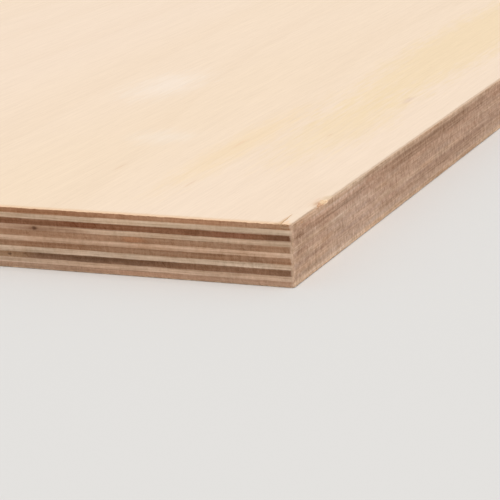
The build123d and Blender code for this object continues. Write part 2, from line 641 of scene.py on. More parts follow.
def end_grain_group(name):
    tree, given, out = start_group(
        name,
        {"Vector": "Vector", "Colour": "Color", "Pores": 0.2, "Rays": 0.4, "Layers": 0.4, "Checks": 0.3},
        {"Colour": "Color", "Height": "Float"},
    )
    place = given["Vector"]
    cells = vector_maths(tree, "MULTIPLY", place, PORES)
    cell = add_node(tree, "ShaderNodeTexVoronoi", {"feature": "F1"}, Vector=cells, Scale=1.0)
    pore = ramp(tree, cell.outputs["Distance"], 0.42, 0.16)
    ray = noise_value(tree, place, RAYS, detail=2)
    slant = mapped(tree, place, turn=(0.0, KNIFE_SLANT, 0.0))
    check = ramp(tree, noise_value(tree, slant, KNIFE_CHECKS), 0.16, 0.26)
    layer = noise_value(tree, place, LAYERS, detail=3, roughness=0.6)
    dark = total(tree, (pore, given["Pores"]), (check, given["Checks"]))
    level = maths(tree, "SUBTRACT", total(tree, (ray, given["Rays"]), (layer, given["Layers"])), dark)
    tree.links.new(shade(tree, given["Colour"], level), out["Colour"])
    tree.links.new(total(tree, (ray, 0.6), (pore, -0.8), (check, -1.2)), out["Height"])
    return tree


def tone_group(name):
    """Slow changes of tone along a veneer: lighter and darker stretches, some redder and some greyer."""
    tree, given, out = start_group(
        name, {"Vector": "Vector", "Colour": "Color", "Amount": 0.2}, {"Colour": "Color"}
    )
    place = given["Vector"]
    level = noise_value(tree, place, STRETCHES, detail=5, roughness=0.68)
    change = maths(tree, "MULTIPLY", level, maths(tree, "MULTIPLY", given["Amount"], 3.0))
    shaded = shade(tree, given["Colour"], change)
    warm = ramp(tree, noise_value(tree, place, WARM_STRETCHES, detail=4, roughness=0.65), -0.15, 0.15)
    red = mix(tree, 1.0, shaded, (1.035, 0.99, 0.96), blend="MULTIPLY")
    grey = mix(tree, 1.0, shaded, (0.975, 1.0, 1.015), blend="MULTIPLY")
    tree.links.new(mix(tree, warm, grey, red), out["Colour"])
    return tree


def saw_group(name):
    """What the saw left on an edge: scores, nearly upright, and torn specks, all across the glue lines."""
    tree, given, out = start_group(
        name,
        {"Vector": "Vector", "Colour": "Color", "Scores": 0.1, "Specks": 0.3},
        {"Colour": "Color", "Height": "Float"},
    )
    lean = mapped(tree, given["Vector"], turn=(0.0, SAW_LEAN, 0.0))
    score = noise_value(tree, lean, SAW_SCORES, detail=3, roughness=0.6)
    speck = noise_value(tree, lean, SAW_SPECKS, detail=4, roughness=0.78)
    level = total(tree, (score, given["Scores"]), (speck, given["Specks"]))
    tree.links.new(shade(tree, given["Colour"], maths(tree, "MULTIPLY", level, 2.0)), out["Colour"])
    tree.links.new(total(tree, (score, 1.0), (speck, 1.6)), out["Height"])
    return tree


def glue_group(name):
    """Where a veneer meets its neighbours on an edge: their tones creep in raggedly, and painted shade
    marks the gap.
    """
    tree, given, out = start_group(
        name,
        {"Vector": "Vector", "Colour": "Color", "Up": 0.5, "Thickness": 1.0 * MM, "Above": "Color",
         "Below": "Color", "Reach above": 0.1 * MM, "Reach below": 0.1 * MM, "Line": 0.2},
        {"Colour": "Color", "Line": "Float"},
    )
    ragged = noise_value(tree, given["Vector"], GLUE_RAGS, detail=3, roughness=0.6)
    down = maths(tree, "SUBTRACT", 1.0, given["Up"])
    base = given["Colour"]
    nearest = []
    for share, neighbour, reach in (
        (down, given["Above"], given["Reach above"]), (given["Up"], given["Below"], given["Reach below"])
    ):
        stray = maths(tree, "MULTIPLY", ragged, maths(tree, "MULTIPLY", reach, 2.2))
        away = maths(tree, "ADD", maths(tree, "MULTIPLY", share, given["Thickness"]), stray)
        creep = ramp(tree, away, reach, maths(tree, "MULTIPLY", reach, -1.0))
        base = mix(tree, creep, base, neighbour)
        nearest.append(away)
    # Painted shade: a thin dark line, broken here and there, for the small gap where a veneer meets the
    # next
    gap = ramp(tree, noise_value(tree, given["Vector"], GAP_SHADE_BREAKS, detail=2), -0.05, 0.12)
    line = ramp(tree, maths(tree, "MINIMUM", *nearest), GAP_SHADE_WIDTH, 0.0)
    line = maths(tree, "MULTIPLY", maths(tree, "MULTIPLY", line, gap), given["Line"])
    tree.links.new(shade(tree, base, maths(tree, "MULTIPLY", line, -1.0)), out["Colour"])
    tree.links.new(line, out["Line"])
    return tree


def reach_group(name):
    """How far in a place lies from the front or back edge, from the right or left one and from a corner."""
    tree, given, out = start_group(
        name, {"Vector": "Vector"}, {"Front": "Float", "Side": "Float", "Corner": "Float"}
    )
    positive = vector_maths(tree, "ABSOLUTE", given["Vector"])
    parts = add_node(tree, "ShaderNodeSeparateXYZ", None, Vector=positive).outputs
    side = maths(tree, "SUBTRACT", WIDTH / 2, parts["X"])
    front = maths(tree, "SUBTRACT", LENGTH / 2, parts["Y"])
    ragged = noise_value(tree, given["Vector"], CORNER_RAGS, detail=2, roughness=0.6)
    ragged = maths(tree, "MULTIPLY", ragged, FRAYED_DEPTH)
    tree.links.new(maths(tree, "ADD", front, ragged), out["Front"])
    tree.links.new(maths(tree, "ADD", side, ragged), out["Side"])
    tree.links.new(maths(tree, "ADD", maths(tree, "MAXIMUM", front, side), ragged), out["Corner"])
    return tree


def figure_group(name):
    """The figure of rotary-cut birch: growth lines, drawn out along the grain in flames and ovals."""
    tree, given, out = start_group(
        name, {"Vector": "Vector", "Lines": 13.0}, {"Line": "Float", "Band": "Float"}
    )
    place = given["Vector"]
    swell = noise_value(tree, place, SWELLS, detail=2, roughness=0.45)
    ragged = noise_value(tree, place, LINE_RAGS, detail=2, roughness=0.6)
    ring = maths(tree, "FRACT", total(tree, (swell, given["Lines"]), (ragged, 0.22)))
    early = ramp(tree, ring, 0.05, 0.0)
    late = ramp(tree, ring, 0.62, 1.0)
    tree.links.new(maths(tree, "MAXIMUM", early, late), out["Line"])
    tree.links.new(noise_value(tree, place, WARM_BANDS, detail=2), out["Band"])
    return tree


def spot_group(name):
    """A round or drawn-out spot: 1 in its middle, 0 outside its size."""
    tree, given, out = start_group(
        name,
        {"Vector": "Vector", "Centre": "Vector", "Size": "Vector", "Softness": 0.5, "Strength": 1.0},
        {"Mask": "Float"},
    )
    wobble = noise_value(tree, given["Vector"], MARK_RAGS, detail=2)
    away = vector_maths(tree, "SUBTRACT", given["Vector"], given["Centre"])
    share = vector_maths(tree, "LENGTH", vector_maths(tree, "DIVIDE", away, given["Size"]))
    reach = total(tree, (share, 1.0), (wobble, 1.1))
    inner = maths(tree, "SUBTRACT", 1.0, given["Softness"])
    tree.links.new(maths(tree, "MULTIPLY", ramp(tree, reach, 1.0, inner), given["Strength"]), out["Mask"])
    return tree


GROUPS = {
    "wood fibres": fibre_group,
    "end grain": end_grain_group,
    "slow tone": tone_group,
    "saw marks": saw_group,
    "glue lines": glue_group,
    "edge reach": reach_group,
    "birch figure": figure_group,
    "spot": spot_group,
}


# Finishes


def start_material(name):
    """A material, its nodes and its Principled shader."""
    material = bpy.data.materials.new(name)
    material.use_nodes = True
    tree = material.node_tree
    shader = tree.nodes["Principled BSDF"]
    shader.inputs["Specular IOR Level"].default_value = 0.3
    return material, tree, shader


def place_on_sheet(tree):
    """The place that is shaded, from the sheet's origin."""
    return tree.nodes.new("ShaderNodeTexCoord").outputs["Object"]


def finish_material(tree, shader, base, height, roughness, relief):
    """Joins a colour and a relief to the shader, rougher where the wood lies lower."""
    spread = 0.07
    bump = add_node(tree, "ShaderNodeBump", None, Strength=0.6, Distance=relief, Height=height)
    rough = ramp(tree, height, -0.6, 0.6, roughness + spread, roughness - spread)
    tree.links.new(base, shader.inputs["Base Color"])
    tree.links.new(rough, shader.inputs["Roughness"])
    tree.links.new(bump.outputs[0], shader.inputs["Normal"])


def marked(tree, place, base, centre, size, mark):
    """The colour with one mark on it: a knot, stain or fleck, or a patch of painted shade."""
    spot = use_group(
        tree, "spot", Vector=place, Centre=centre, Size=size, Softness=mark.softness, Strength=mark.strength
    )
    return mix(tree, spot["Mask"], base, colour(*mark.tone))


def face_marked(tree, along, base, marks):
    """The colour with the marks of the face on it. The place is given as X with the grain."""
    for row in marks:
        mark = FaceMark(*row)
        centre = (CORNER.y + mark.front * MM, -(CORNER.x - mark.side * MM), CORNER.z)
        base = marked(tree, along, base, centre, (mark.long * MM, mark.wide * MM, THROUGH), mark)
    return base


def on_edge(side, along, down):
    """A place on an edge, with X along it, given in millimetres from the corner and below the face."""
    start, step = (CORNER.x, -MM) if side == "front" else (CORNER.y, MM)
    return start + step * along, 0.0, CORNER.z - down * MM


def edge_marked(tree, along, base, side, node):
    """The colour with the marks of an edge on it: those that cross every veneer, then the veneer's own."""
    for row in (*MARKS[side].get("every veneer", ()), *MARKS[side].get(node, ())):
        mark = Mark(*row)
        size = (mark.long * MM, THROUGH, mark.high * MM)
        base = marked(tree, along, base, on_edge(side, mark.along, mark.down), size, mark)
    return base


def edge_grain(tree, own, base, side, node):
    """The wood of a sawn edge: end grain where the saw cut across the veneer's fibres, fibres elsewhere."""
    if runs_across(node) == (side == "right"):
        return use_group(
            tree, "end grain", Vector=own, Colour=base, Pores=0.16, Rays=0.35, Layers=0.75, Checks=0.16
        )
    return use_group(tree, "wood fibres", Vector=own, Colour=base, Fibres=1.10, Streaks=0.85, Vessels=0.12)


def edge_glued(tree, along, base, side, node, rim):
    """The glue lines of a sawn edge, with painted shade for the small gaps and the tones of what lies above
    and below the veneer. Beyond the outer veneers, that is the tone of the sheet's rim."""
    cut = CUTS[side]
    tones = [rim, *(cut.tones[veneer] for veneer in VENEERS), rim]
    number = VENEERS.index(node)
    low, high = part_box(node)
    up = add_node(tree, "ShaderNodeAttribute", {"attribute_name": PLY_HEIGHT}).outputs["Fac"]
    # The face creeps over its sharp edge less far than one veneer does over another
    smear_above = cut.smear if number else 0.45 * cut.smear
    return use_group(
        tree, "glue lines", Vector=along, Colour=base, Up=up, Thickness=high.z - low.z, Above=tones[number],
        Below=tones[number + 2], Reach_above=smear_above, Reach_below=cut.smear, Line=cut.line,
    )


def sawn_material(node, side, finish):
    """The edge of a veneer as the saw left it: its front and back ones, or its right and left ones."""
    cut = CUTS[side]
    material, tree, shader = start_material(f"{node} {side} edge")
    place = place_on_sheet(tree)
    along = place if side == "front" else turned(tree, place)
    own = moved(tree, along, VENEERS.index(node) + 1)
    base = use_group(tree, "slow tone", Vector=own, Colour=cut.tones[node], Amount=cut.drift)["Colour"]
    grain = edge_grain(tree, own, edge_marked(tree, along, base, side, node), side, node)
    glue = edge_glued(tree, along, grain["Colour"], side, node, finish.arris[:])
    away = use_group(tree, "edge reach", Vector=place)["Corner"]
    fray_start, fray_full = 0.95 * MM, 0.5 * MM
    fray = maths(tree, "MULTIPLY", ramp(tree, away, fray_start, fray_full), cut.frayed)
    base = mix(tree, fray, glue["Colour"], finish.frayed[:])
    from_corner, down, half_length, half_height = cut.rough
    rough = use_group(
        tree, "spot", Vector=along, Centre=on_edge(side, from_corner, down),
        Size=(half_length * MM, THROUGH, half_height * MM), Softness=0.9, Strength=1.0,
    )["Mask"]
    saw = use_group(
        tree, "saw marks", Vector=along, Colour=base, Scores=total(tree, (rough, 0.2), (1.0, cut.scores)),
        Specks=total(tree, (fray, 0.5), (rough, 0.8 * cut.specks), (1.0, cut.specks)),
    )
    height = total(tree, (grain["Height"], 1.0), (saw["Height"], 1.0), (glue["Line"], -1.0))
    finish_material(tree, shader, saw["Colour"], height, roughness=0.85, relief=0.05 * MM)
    return material


def sanded_material(node, finish):
    """The sanded face or back, with its figure, a warmer strip along its front and back edges and painted
    shade along its rounded right and left edges.
    """
    material, tree, shader = start_material(f"{node} sanded")
    place = place_on_sheet(tree)
    along = turned(tree, place)
    own = moved(tree, along, VENEERS.index(node) + 1)
    figure = use_group(tree, "birch figure", Vector=own, Lines=21.0)
    base = mix(tree, ramp(tree, figure["Band"], -0.05, 0.25, 0.0, 0.3), finish.face[:], finish.face_warm[:])
    # The figure is faint near the damaged corner, and plainer from a metre away
    faint, plainer = 0.06, 0.30
    drawn = ramp(tree, vector_maths(tree, "DISTANCE", place, CORNER), 0.35, 1.0, faint, plainer)
    base = mix(tree, maths(tree, "MULTIPLY", figure["Line"], drawn), base, finish.growth_line[:])
    reach = use_group(tree, "edge reach", Vector=place)
    for way, start, full, strength, tone in (
        ("Front", 2.6 * MM, 0.2 * MM, 0.9, finish.arris),
        # The right and left strips are painted shade on the rounded arris
        ("Side", 1.0 * MM, 0.3 * MM, 0.85, finish.side_arris_shade),
    ):
        base = mix(tree, ramp(tree, reach[way], start, full, 0.0, strength), base, tone[:])
    if node == VENEERS[0]:
        base = face_marked(tree, along, base, FACE_MARKS)
    grain = use_group(tree, "wood fibres", Vector=own, Colour=base, Fibres=0.24, Streaks=0.10, Vessels=0.07)
    finish_material(tree, shader, grain["Colour"], grain["Height"], roughness=0.62, relief=0.02 * MM)
    return material


def plain_material(name, base, streaks, marks=()):
    """Wood that is torn or hidden: fibres, and perhaps some marks, among them painted shade."""
    made = bpy.data.materials.get(name)
    if made:
        return made
    material, tree, shader = start_material(name)
    along = turned(tree, place_on_sheet(tree))
    base = face_marked(tree, along, base, marks)
    grain = use_group(
        tree, "wood fibres", Vector=along, Colour=base, Fibres=streaks, Streaks=streaks, Vessels=0.10
    )
    finish_material(tree, shader, grain["Colour"], grain["Height"], roughness=0.85, relief=0.05 * MM)
    return material


# Shapes


def add_piece(scene, name, bm, materials):
    """Adds a shape to the scene as a piece, with its materials in the order of its slots."""
    mesh = bpy.data.meshes.new(name)
    bm.to_mesh(mesh)
    bm.free()
    for material in materials:
        mesh.materials.append(material)
    piece = bpy.data.objects.new(name, mesh)
    scene.collection.objects.link(piece)
    return piece


def outline_steps(bm, shape):
    """Cuts the outline's edges into short steps near the damaged corner and longer ones elsewhere."""
    ends = (
        ((CORNER.x - shape.fine_front, 0, 0), (1, 0, 0)),
        ((0, CORNER.y + shape.fine_side, 0), (0, 1, 0)),
    )
    for place, normal in ends:
        bmesh.ops.bisect_plane(bm, geom=bm.edges[:], plane_co=place, plane_no=normal, dist=0.01 * MM)
    for edge in bm.edges[:]:
        length = edge.calc_length()
        if length < 2 * shape.corner_radius:
            continue
        middle = (edge.verts[0].co + edge.verts[1].co) / 2
        near = middle.x > CORNER.x - shape.fine_front and middle.y < CORNER.y + shape.fine_side
        cuts = round(length / (shape.fine_step if near else shape.coarse_step)) - 1
        bmesh.ops.subdivide_edges(bm, edges=[edge], cuts=cuts)


def plate_outline(bm, shape):
    """The sheet's outline with its worn corners, as one face at height zero."""
    bmesh.ops.create_grid(bm, x_segments=1, y_segments=1, size=0.5)
    bmesh.ops.scale(bm, vec=(WIDTH, LENGTH, 1), verts=bm.verts[:])
    bmesh.ops.bevel(
        bm, geom=bm.verts[:], offset=shape.corner_radius, offset_type="OFFSET", segments=4, profile=0.5,
        affect="VERTICES", material=-1,
    )
    bmesh.ops.delete(bm, geom=bm.faces[:], context="FACES_ONLY")
    outline_steps(bm, shape)
    return bmesh.ops.contextual_create(bm, geom=bm.edges[:])["faces"][0]


def rings(node, shape):
    """The loops that a veneer is built up from: how far each lies in from the edge, and how high up."""
    inner = shape.border
    found = [(inner, 0.0), (0.0, 0.0), (0.0, 0.25), (0.0, 0.5), (0.0, 0.75), (0.0, 1.0), (inner, 1.0)]
    if node == VENEERS[0]:
        found.insert(-1, (shape.arris, 1.0))
    if node == VENEERS[-1]:
        found.insert(1, (shape.arris, 0.0))
    return found


def outward(place, radius):
    """The level direction out of the sheet at a place on its outline."""
    x = min(max(place.x, LOW.x + radius), HIGH.x - radius)
    y = min(max(place.y, LOW.y + radius), HIGH.y - radius)
    return (place - Vector((x, y, place.z))).normalized()


def wave(place, length, line):
    """Smooth noise along the sheet's outline, over that length, of its own for each line."""
    return noise.noise(Vector((place.x / length, place.y / length, line)))


def glue_line_shift(place, height, shape):
    """How far the glue line of that height has strayed at a place. The two faces don't stray."""
    if min(height - LOW.z, HIGH.z - height) < 0.1 * MM:
        return 0.0
    line = height / MM * 3.7
    slow = wave(place, 38 * MM, line)
    quick = wave(place, 6 * MM, line + 50)
    return shape.glue_wander * (slow + 0.45 * quick)


def saw_roughness(place, end_grain, shape):
    """How far the saw cut in at a place on an edge, deeper on end grain and near an upright corner."""
    coarse = 0.6 * noise.noise(place / (1.1 * MM))
    fine = 0.4 * noise.noise(place / (0.45 * MM))
    from_corner = max(WIDTH / 2 - abs(place.x), LENGTH / 2 - abs(place.y))
    frayed = 1 + 1.2 * max(1 - from_corner / (1.5 * MM), 0.0)
    share = 1.0 if end_grain else 0.45
    return shape.saw_relief * share * (0.5 + coarse + fine) * frayed


def arris_loss(place, shape):
    """How much of a sharp edge of the faces is fuzzed away at a place."""
    return shape.arris_wear * (0.35 + 0.9 * abs(noise.noise(place / (1.6 * MM))))


def lip_lift(place, shape):
    """How far the split's lifted lip stands up at a place."""
    across = (CORNER.x - place.x - shape.split_from_side + shape.lip_width / 2) / (shape.lip_width / 2)
    along = (place.y - CORNER.y) / shape.lip_length
    if abs(across) > 1 or along > 1:
        return 0.0
    return shape.lip_lift * (1 - across ** 2) * (1 - along)


def shape_edge(bm, node, layers, shape):
    """Lets the glue lines wander, roughens the sawn edges and fuzzes the sharp ones."""
    low, high = (corner.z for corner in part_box(node))
    inset_layer, height_layer = layers
    for vert in bm.verts:
        inset, share = vert[inset_layer], vert[height_layer]
        if inset > shape.arris:
            continue
        place = vert.co.copy()
        below, above = (glue_line_shift(place, height, shape) for height in (low, high))
        vert.co.z += below * (1 - share) + above * share
        if node == VENEERS[0] and share == 1.0:
            vert.co.z += lip_lift(place, shape)
        if inset > 0:
            continue
        way = outward(place, shape.corner_radius)
        end_grain = abs(way.x if runs_across(node) else way.y) > 0.7
        vert.co -= way * max(saw_roughness(place, end_grain, shape), 0.0)
        if (node, share) in ((VENEERS[0], 1.0), (VENEERS[-1], 0.0)):
            wear = arris_loss(place, shape)
            vert.co.z += -wear if share == 1.0 else wear
            vert.co -= way * wear * 0.6


# The slots of a veneer's finishes. The first is for its front and back edges, the second for the other two
FRONT_EDGE, RIGHT_EDGE, UPPER, LOWER = range(4)


def slot_of(face, inset_layer, radius):
    """Which of the veneer's finishes a face wears."""
    if all(vert[inset_layer] == 0.0 for vert in face.verts):
        way = outward(face.calc_center_median(), radius)
        return FRONT_EDGE if abs(way.y) > abs(way.x) else RIGHT_EDGE
    return UPPER if face.normal.z > 0 else LOWER


def round_place(vert, way):
    """Distance round the outline, from the front left corner, in the direction of the right one."""
    x, y = vert.co.x - LOW.x, vert.co.y - LOW.y
    if abs(way.y) > abs(way.x):
        return x if way.y < 0 else WIDTH + LENGTH + (WIDTH - x)
    return WIDTH + y if way.x > 0 else 2 * WIDTH + LENGTH + (LENGTH - y)


def face_patches(shown, edge_share):
    """The left, right, bottom and top of each face's patch on the map. A hidden face has a thin strip above
    the rows of edge, and the one that shows has the rest, up to the damage's strip at the right."""
    width, gap = 0.98, 0.005
    patches = {shown: (0.0, width, edge_share + 0.03, 0.99)}
    hidden = [slot for slot in (UPPER, LOWER) if slot != shown]
    for number, slot in enumerate(hidden):
        start = number / len(hidden)
        patches[slot] = (start, start + width / len(hidden), edge_share + gap, edge_share + 4 * gap)
    return patches


def lay_out_map(bm, node, height_layer, shape):
    """Lays the veneer out on its map, with its edges in rows below and its faces above them."""
    shown = {VENEERS[0]: UPPER, VENEERS[-1]: LOWER}.get(node)
    # How many rows of edge there are, and how much of the map's height they take
    rows, edge_share = (12, 0.18) if shown else (40, 0.95)
    row_length = 2 * (WIDTH + LENGTH) / rows
    row_height = edge_share / rows
    # What a row leaves free before it and below it, and what it fills, as shares of its length and height
    row_margin, row_fill = 0.015, 0.97
    height_margin, height_fill = 0.1, 0.8
    patches = face_patches(shown, edge_share)
    layer = bm.loops.layers.uv.new(BAKE_MAP)
    for face in bm.faces:
        if face.material_index in (FRONT_EDGE, RIGHT_EDGE):
            way = outward(face.calc_center_median(), shape.corner_radius)
            starts = [round_place(loop.vert, way) for loop in face.loops]
            row = min(int(sum(starts) / len(starts) / row_length), rows - 1)
            for loop, start in zip(face.loops, starts):
                u = (start / row_length - row) * row_fill + row_margin
                v = (row + height_margin + height_fill * loop.vert[height_layer]) * row_height
                loop[layer].uv = (u, v)
            continue
        left, right, bottom, top = patches[face.material_index]
        for loop in face.loops:
            u = (loop.vert.co.x - LOW.x) / WIDTH
            v = (loop.vert.co.y - LOW.y) / LENGTH
            loop[layer].uv = (left + (right - left) * u, bottom + (top - bottom) * v)


def next_ring(bm, face):
    """Extrudes the face that closes a shape, and returns the new one, to be moved to the next loop."""
    made = bmesh.ops.extrude_face_region(bm, geom=[face, *face.edges])["geom"]
    return next(item for item in made if isinstance(item, bmesh.types.BMFace))


def veneer_shape(node, shape):
    """One veneer as a closed shape, in its place, with the slots of its finishes and its map."""
    low, high = (corner.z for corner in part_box(node))
    bm = bmesh.new()
    inset_layer = bm.verts.layers.float.new("inset")
    height_layer = bm.verts.layers.float.new(PLY_HEIGHT)
    face = plate_outline(bm, shape)
    last = 0.0
    for number, (inset, share) in enumerate(rings(node, shape)):
        if number:
            face = next_ring(bm, face)
        verts = face.verts[:]
        across = (WIDTH / 2 - inset) / (WIDTH / 2 - last)
        along = (LENGTH / 2 - inset) / (LENGTH / 2 - last)
        bmesh.ops.scale(bm, vec=(across, along, 1), verts=verts)
        for vert in verts:
            vert[inset_layer] = inset
            vert[height_layer] = share
            vert.co.z = low + (high - low) * share
        last = inset
    bmesh.ops.recalc_face_normals(bm, faces=bm.faces[:])
    bm.normal_update()
    for face in bm.faces:
        face.material_index = slot_of(face, inset_layer, shape.corner_radius)
    lay_out_map(bm, node, height_layer, shape)
    shape_edge(bm, node, (inset_layer, height_layer), shape)
    bm.verts.layers.float.remove(inset_layer)
    return bm


def veneer_materials(node, finish):
    """The finishes of a veneer, in the order of its slots."""
    glued = plain_material("glued face", finish.glued[:], 0.2)
    upper = sanded_material(node, finish) if node == VENEERS[0] else glued
    lower = sanded_material(node, finish) if node == VENEERS[-1] else glued
    return [sawn_material(node, "front", finish), sawn_material(node, "right", finish), upper, lower]


def make_veneer(scene, node):
    """Makes the piece that stands for a CAD veneer."""
    bm = veneer_shape(node, scene.sheet_shape)
    return add_piece(scene, f"{node}_wood", bm, veneer_materials(node, scene.sheet_finish))


def place_veneer(piece, node):
    """Rides the piece on the sheet and lets it stand for its CAD node."""
    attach(piece, "root")
    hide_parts(node)


def make_veneers(scene, nodes):
    """Makes veneers that have no damage."""
    for node in nodes:
        place_veneer(make_veneer(scene, node), node)


# The damage


# A cross-section of a furrow: where it is along Y, its share of the full size, its drift along X
Station = namedtuple("Station", "y, share, drift")


def furrow(scene, name, material, anchor, section, stations):
    """Air torn out along the grain: a section, as (across, up) corners from the anchor, opening and closing
    from station to station and drifting sideways."""
    bm = bmesh.new()
    last = stations[0]._replace(drift=0.0)
    verts = [
        bm.verts.new((anchor.x + across * last.share, last.y, anchor.z + up * last.share))
        for across, up in section
    ]
    face = bmesh.ops.contextual_create(bm, geom=verts)["faces"][0]
    for number, station in enumerate(stations):
        if number:
            face = next_ring(bm, face)
        grown = station.share / last.share
        for vert in face.verts:
            across, up = vert.co.x - anchor.x - last.drift, vert.co.z - anchor.z
            vert.co = (anchor.x + station.drift + across * grown, station.y, anchor.z + up * grown)
        last = station
    bmesh.ops.recalc_face_normals(bm, faces=bm.faces[:])
    # The damage's strip of the map, and how much of the sheet it holds, in from the corner
    strip_left, strip_width, strip_bottom, strip_height = 0.985, 0.012, 0.3, 0.5
    reach_in, reach_back = 5 * MM, 30 * MM
    layer = bm.loops.layers.uv.new(BAKE_MAP)
    for face in bm.faces:
        for loop in face.loops:
            across = (CORNER.x - loop.vert.co.x) / reach_in
            along = (loop.vert.co.y - CORNER.y) / reach_back
            loop[layer].uv = (strip_left + strip_width * across, strip_bottom + strip_height * along)
    return add_piece(scene, name, bm, [material])


def closing(length, drift, wander, seed):
    """Stations from in front of the front edge to a furrow's inner end, closing and wandering a little."""
    found = []
    # How far the stations reach, and how much of that lies in front of the edge, are shares of the length
    steps, reach, overrun, thinnest = 14, 1.02, 0.08, 0.0005
    for step in range(steps + 1):
        along = step / steps
        y = (reach * along - overrun) * length
        stray = wander * noise.noise(Vector((y / (1.3 * MM), seed, 0.0))) * math.sin(math.pi * along)
        share = max(1 - y / length, thinnest) ** 0.6
        found.append(Station(CORNER.y + y, share, drift * y / length + stray))
    return found


def split_cutter(scene, material):
    """The split: a shallow furrow of lost fibres with a narrow slit along its middle."""
    shape = scene.sheet_shape
    anchor = CORNER - Vector((shape.split_from_side, 0, 0))
    over, shoulder = 0.3 * MM, -shape.split_depth * 0.2
    furrow_half = shape.split_mouth * 1.6
    slit_half = shape.split_mouth * 0.3
    section = [
        (-furrow_half, over), (furrow_half, over), (slit_half, shoulder), (0.0, -shape.split_depth),
        (-slit_half, shoulder),
    ]
    stations = closing(shape.split_length, -shape.split_drift, 0.09 * MM, 1.0)
    return furrow(scene, "split", material, anchor, section, stations)


def crack_cutter(scene, material):
    """The crack under the split's right lip, which rises towards its far side."""
    shape = scene.sheet_shape
    anchor = CORNER - Vector((shape.split_from_side, 0, shape.lip_thickness))
    rise = shape.lip_thickness / 2 + shape.lip_lift * 0.3
    middle = (shape.lip_width * 0.5, shape.lip_lift * 0.5)
    section = [(0.0, 0.0), middle, (shape.lip_width, rise), (0.0, -shape.crack_gape)]
    drift = -shape.split_drift * shape.lip_length / shape.split_length
    stations = closing(shape.lip_length, drift, 0.05 * MM, 2.0)
    return furrow(scene, "crack", material, anchor, section, stations)


def chip_cutter(scene, material):
    """The chip gone from the right arris: thin at its front, widest near its far end, with a torn floor."""
    shape = scene.sheet_shape
    widest = shape.chip_widest
    anchor = Vector((CORNER.x, 0, CORNER.z))
    # The share of the chip's floor that runs on past the face and past the edge, and how many ridges it has
    spare, ridges = 0.3, 7
    section = [(shape.chip_width, shape.chip_depth)]
    for ridge in range(ridges + 1):
        share = (1 + 2 * spare) * ridge / ridges - spare
        rough = 0.09 * MM * noise.noise(Vector((ridge * 0.83, 4.0, 0.0))) if 0 < ridge < ridges else 0.0
        section.append((-shape.chip_width * (1 - share), -shape.chip_depth * share + rough))
    stations = []
    steps, thinnest = 16, 0.03
    for step in range(steps + 1):
        along = step / steps
        opening = along / widest if along < widest else (1 - along) / (1 - widest)
        rough = 0.22 * noise.noise(Vector((along * 11, 6.0, 0.0))) * math.sin(math.pi * along)
        y = CORNER.y + shape.chip_from_front + along * shape.chip_length
        stations.append(Station(y, max(opening ** 0.6 * 1.10 + rough, thinnest), 0.0))
    return furrow(scene, "chip", material, anchor, section, stations)


def cut_away(piece, cutters):
    """Cuts the furrows out of a piece for good, and clears them away."""
    for cutter in cutters:
        cut = piece.modifiers.new(cutter.name, "BOOLEAN")
        cut.operation = "DIFFERENCE"
        cut.solver = "EXACT"
        cut.material_mode = "TRANSFER"
        cut.object = cutter
    bpy.context.view_layer.update()
    graph = bpy.context.evaluated_depsgraph_get()
    mesh = bpy.data.meshes.new_from_object(piece.evaluated_get(graph))
    piece.modifiers.clear()
    piece.data = mesh
    for cutter in cutters:
        bpy.data.objects.remove(cutter)


# Loose fibres, in millimetres from the corner: how many, where they start (in from the side, in from the
# front, down) and up to where, the way they point, how far that strays, how long and how thick they are
Tuft = namedtuple("Tuft", "count, start, end, way, stray, long, thick")
TUFTS = (
    Tuft(16, (0.2, 18.0, 0.34), (1.3, 23.6, 0.10), (0.0, -1.0, 0.10), 0.16, 1.6, 0.09),
    Tuft(10, (0.1, 23.4, 0.40), (1.4, 24.4, 0.06), (0.15, -1.0, 0.25), 0.25, 1.0, 0.10),
    Tuft(8, (0.05, 16.6, 0.05), (0.25, 20.5, 0.22), (0.25, -1.0, 0.15), 0.20, 1.2, 0.08),
    Tuft(7, (2.9, 0.5, 0.04), (3.4, 7.0, 0.02), (-0.1, -1.0, 0.08), 0.15, 1.2, 0.06),
    Tuft(8, (1.4, 0.05, 0.30), (2.9, 0.15, 0.34), (-0.3, -1.0, 0.10), 0.35, 0.5, 0.07),
    Tuft(26, (4.0, 0.04, 0.14), (76.0, 0.06, 0.20), (0.3, -1.0, 0.10), 0.55, 0.35, 0.05),
    Tuft(22, (0.12, 0.12, 0.60), (0.18, 0.18, 14.2), (0.7, -0.7, 0.10), 0.60, 0.35, 0.06),
    Tuft(26, (0.03, 3.0, 0.16), (0.05, 90.0, 0.30), (1.0, -0.5, -0.20), 0.50, 0.35, 0.06),
)


def add_fibre(bm, draw, tuft):
    """One sliver of a tuft, as a thin cone."""
    share = Vector([draw.random() for _ in range(3)])
    first = Vector(tuft.start)
    side, front, down = first + (Vector(tuft.end) - first) * share
    root = CORNER + Vector((-side, front, -down)) * MM
    stray = Vector([draw.uniform(-tuft.stray, tuft.stray) for _ in range(3)])
    way = (Vector(tuft.way) + stray).normalized()
    long = tuft.long * MM * draw.uniform(0.5, 1.3)
    thick = tuft.thick * MM * draw.uniform(0.6, 1.4)
    place = Matrix.Translation(root + way * long * 0.3) @ way.to_track_quat("Z", "Y").to_matrix().to_4x4()
    bmesh.ops.create_cone(
        bm, cap_ends=True, segments=5, radius1=thick / 2, radius2=thick / 8, depth=long, matrix=place
    )


class SHEET_OT_face_veneer(bpy.types.Operator):
    """Makes the face veneer, with the split, its lifted lip and the chip"""

    bl_idname = "sheet.face_veneer"
    bl_label = "Face veneer"

    def execute(self, context):
        scene = context.scene
        node = VENEERS[0]
        split_wood = plain_material("split wood", scene.sheet_finish.split[:], 0.5)
        torn_wood = plain_material("torn wood", scene.sheet_finish.torn[:], 0.9, CHIP_MARKS)
        piece = make_veneer(scene, node)
        split, crack = split_cutter(scene, split_wood), crack_cutter(scene, split_wood)
        cut_away(piece, [split, crack, chip_cutter(scene, torn_wood)])
        place_veneer(piece, node)
        return {"FINISHED"}


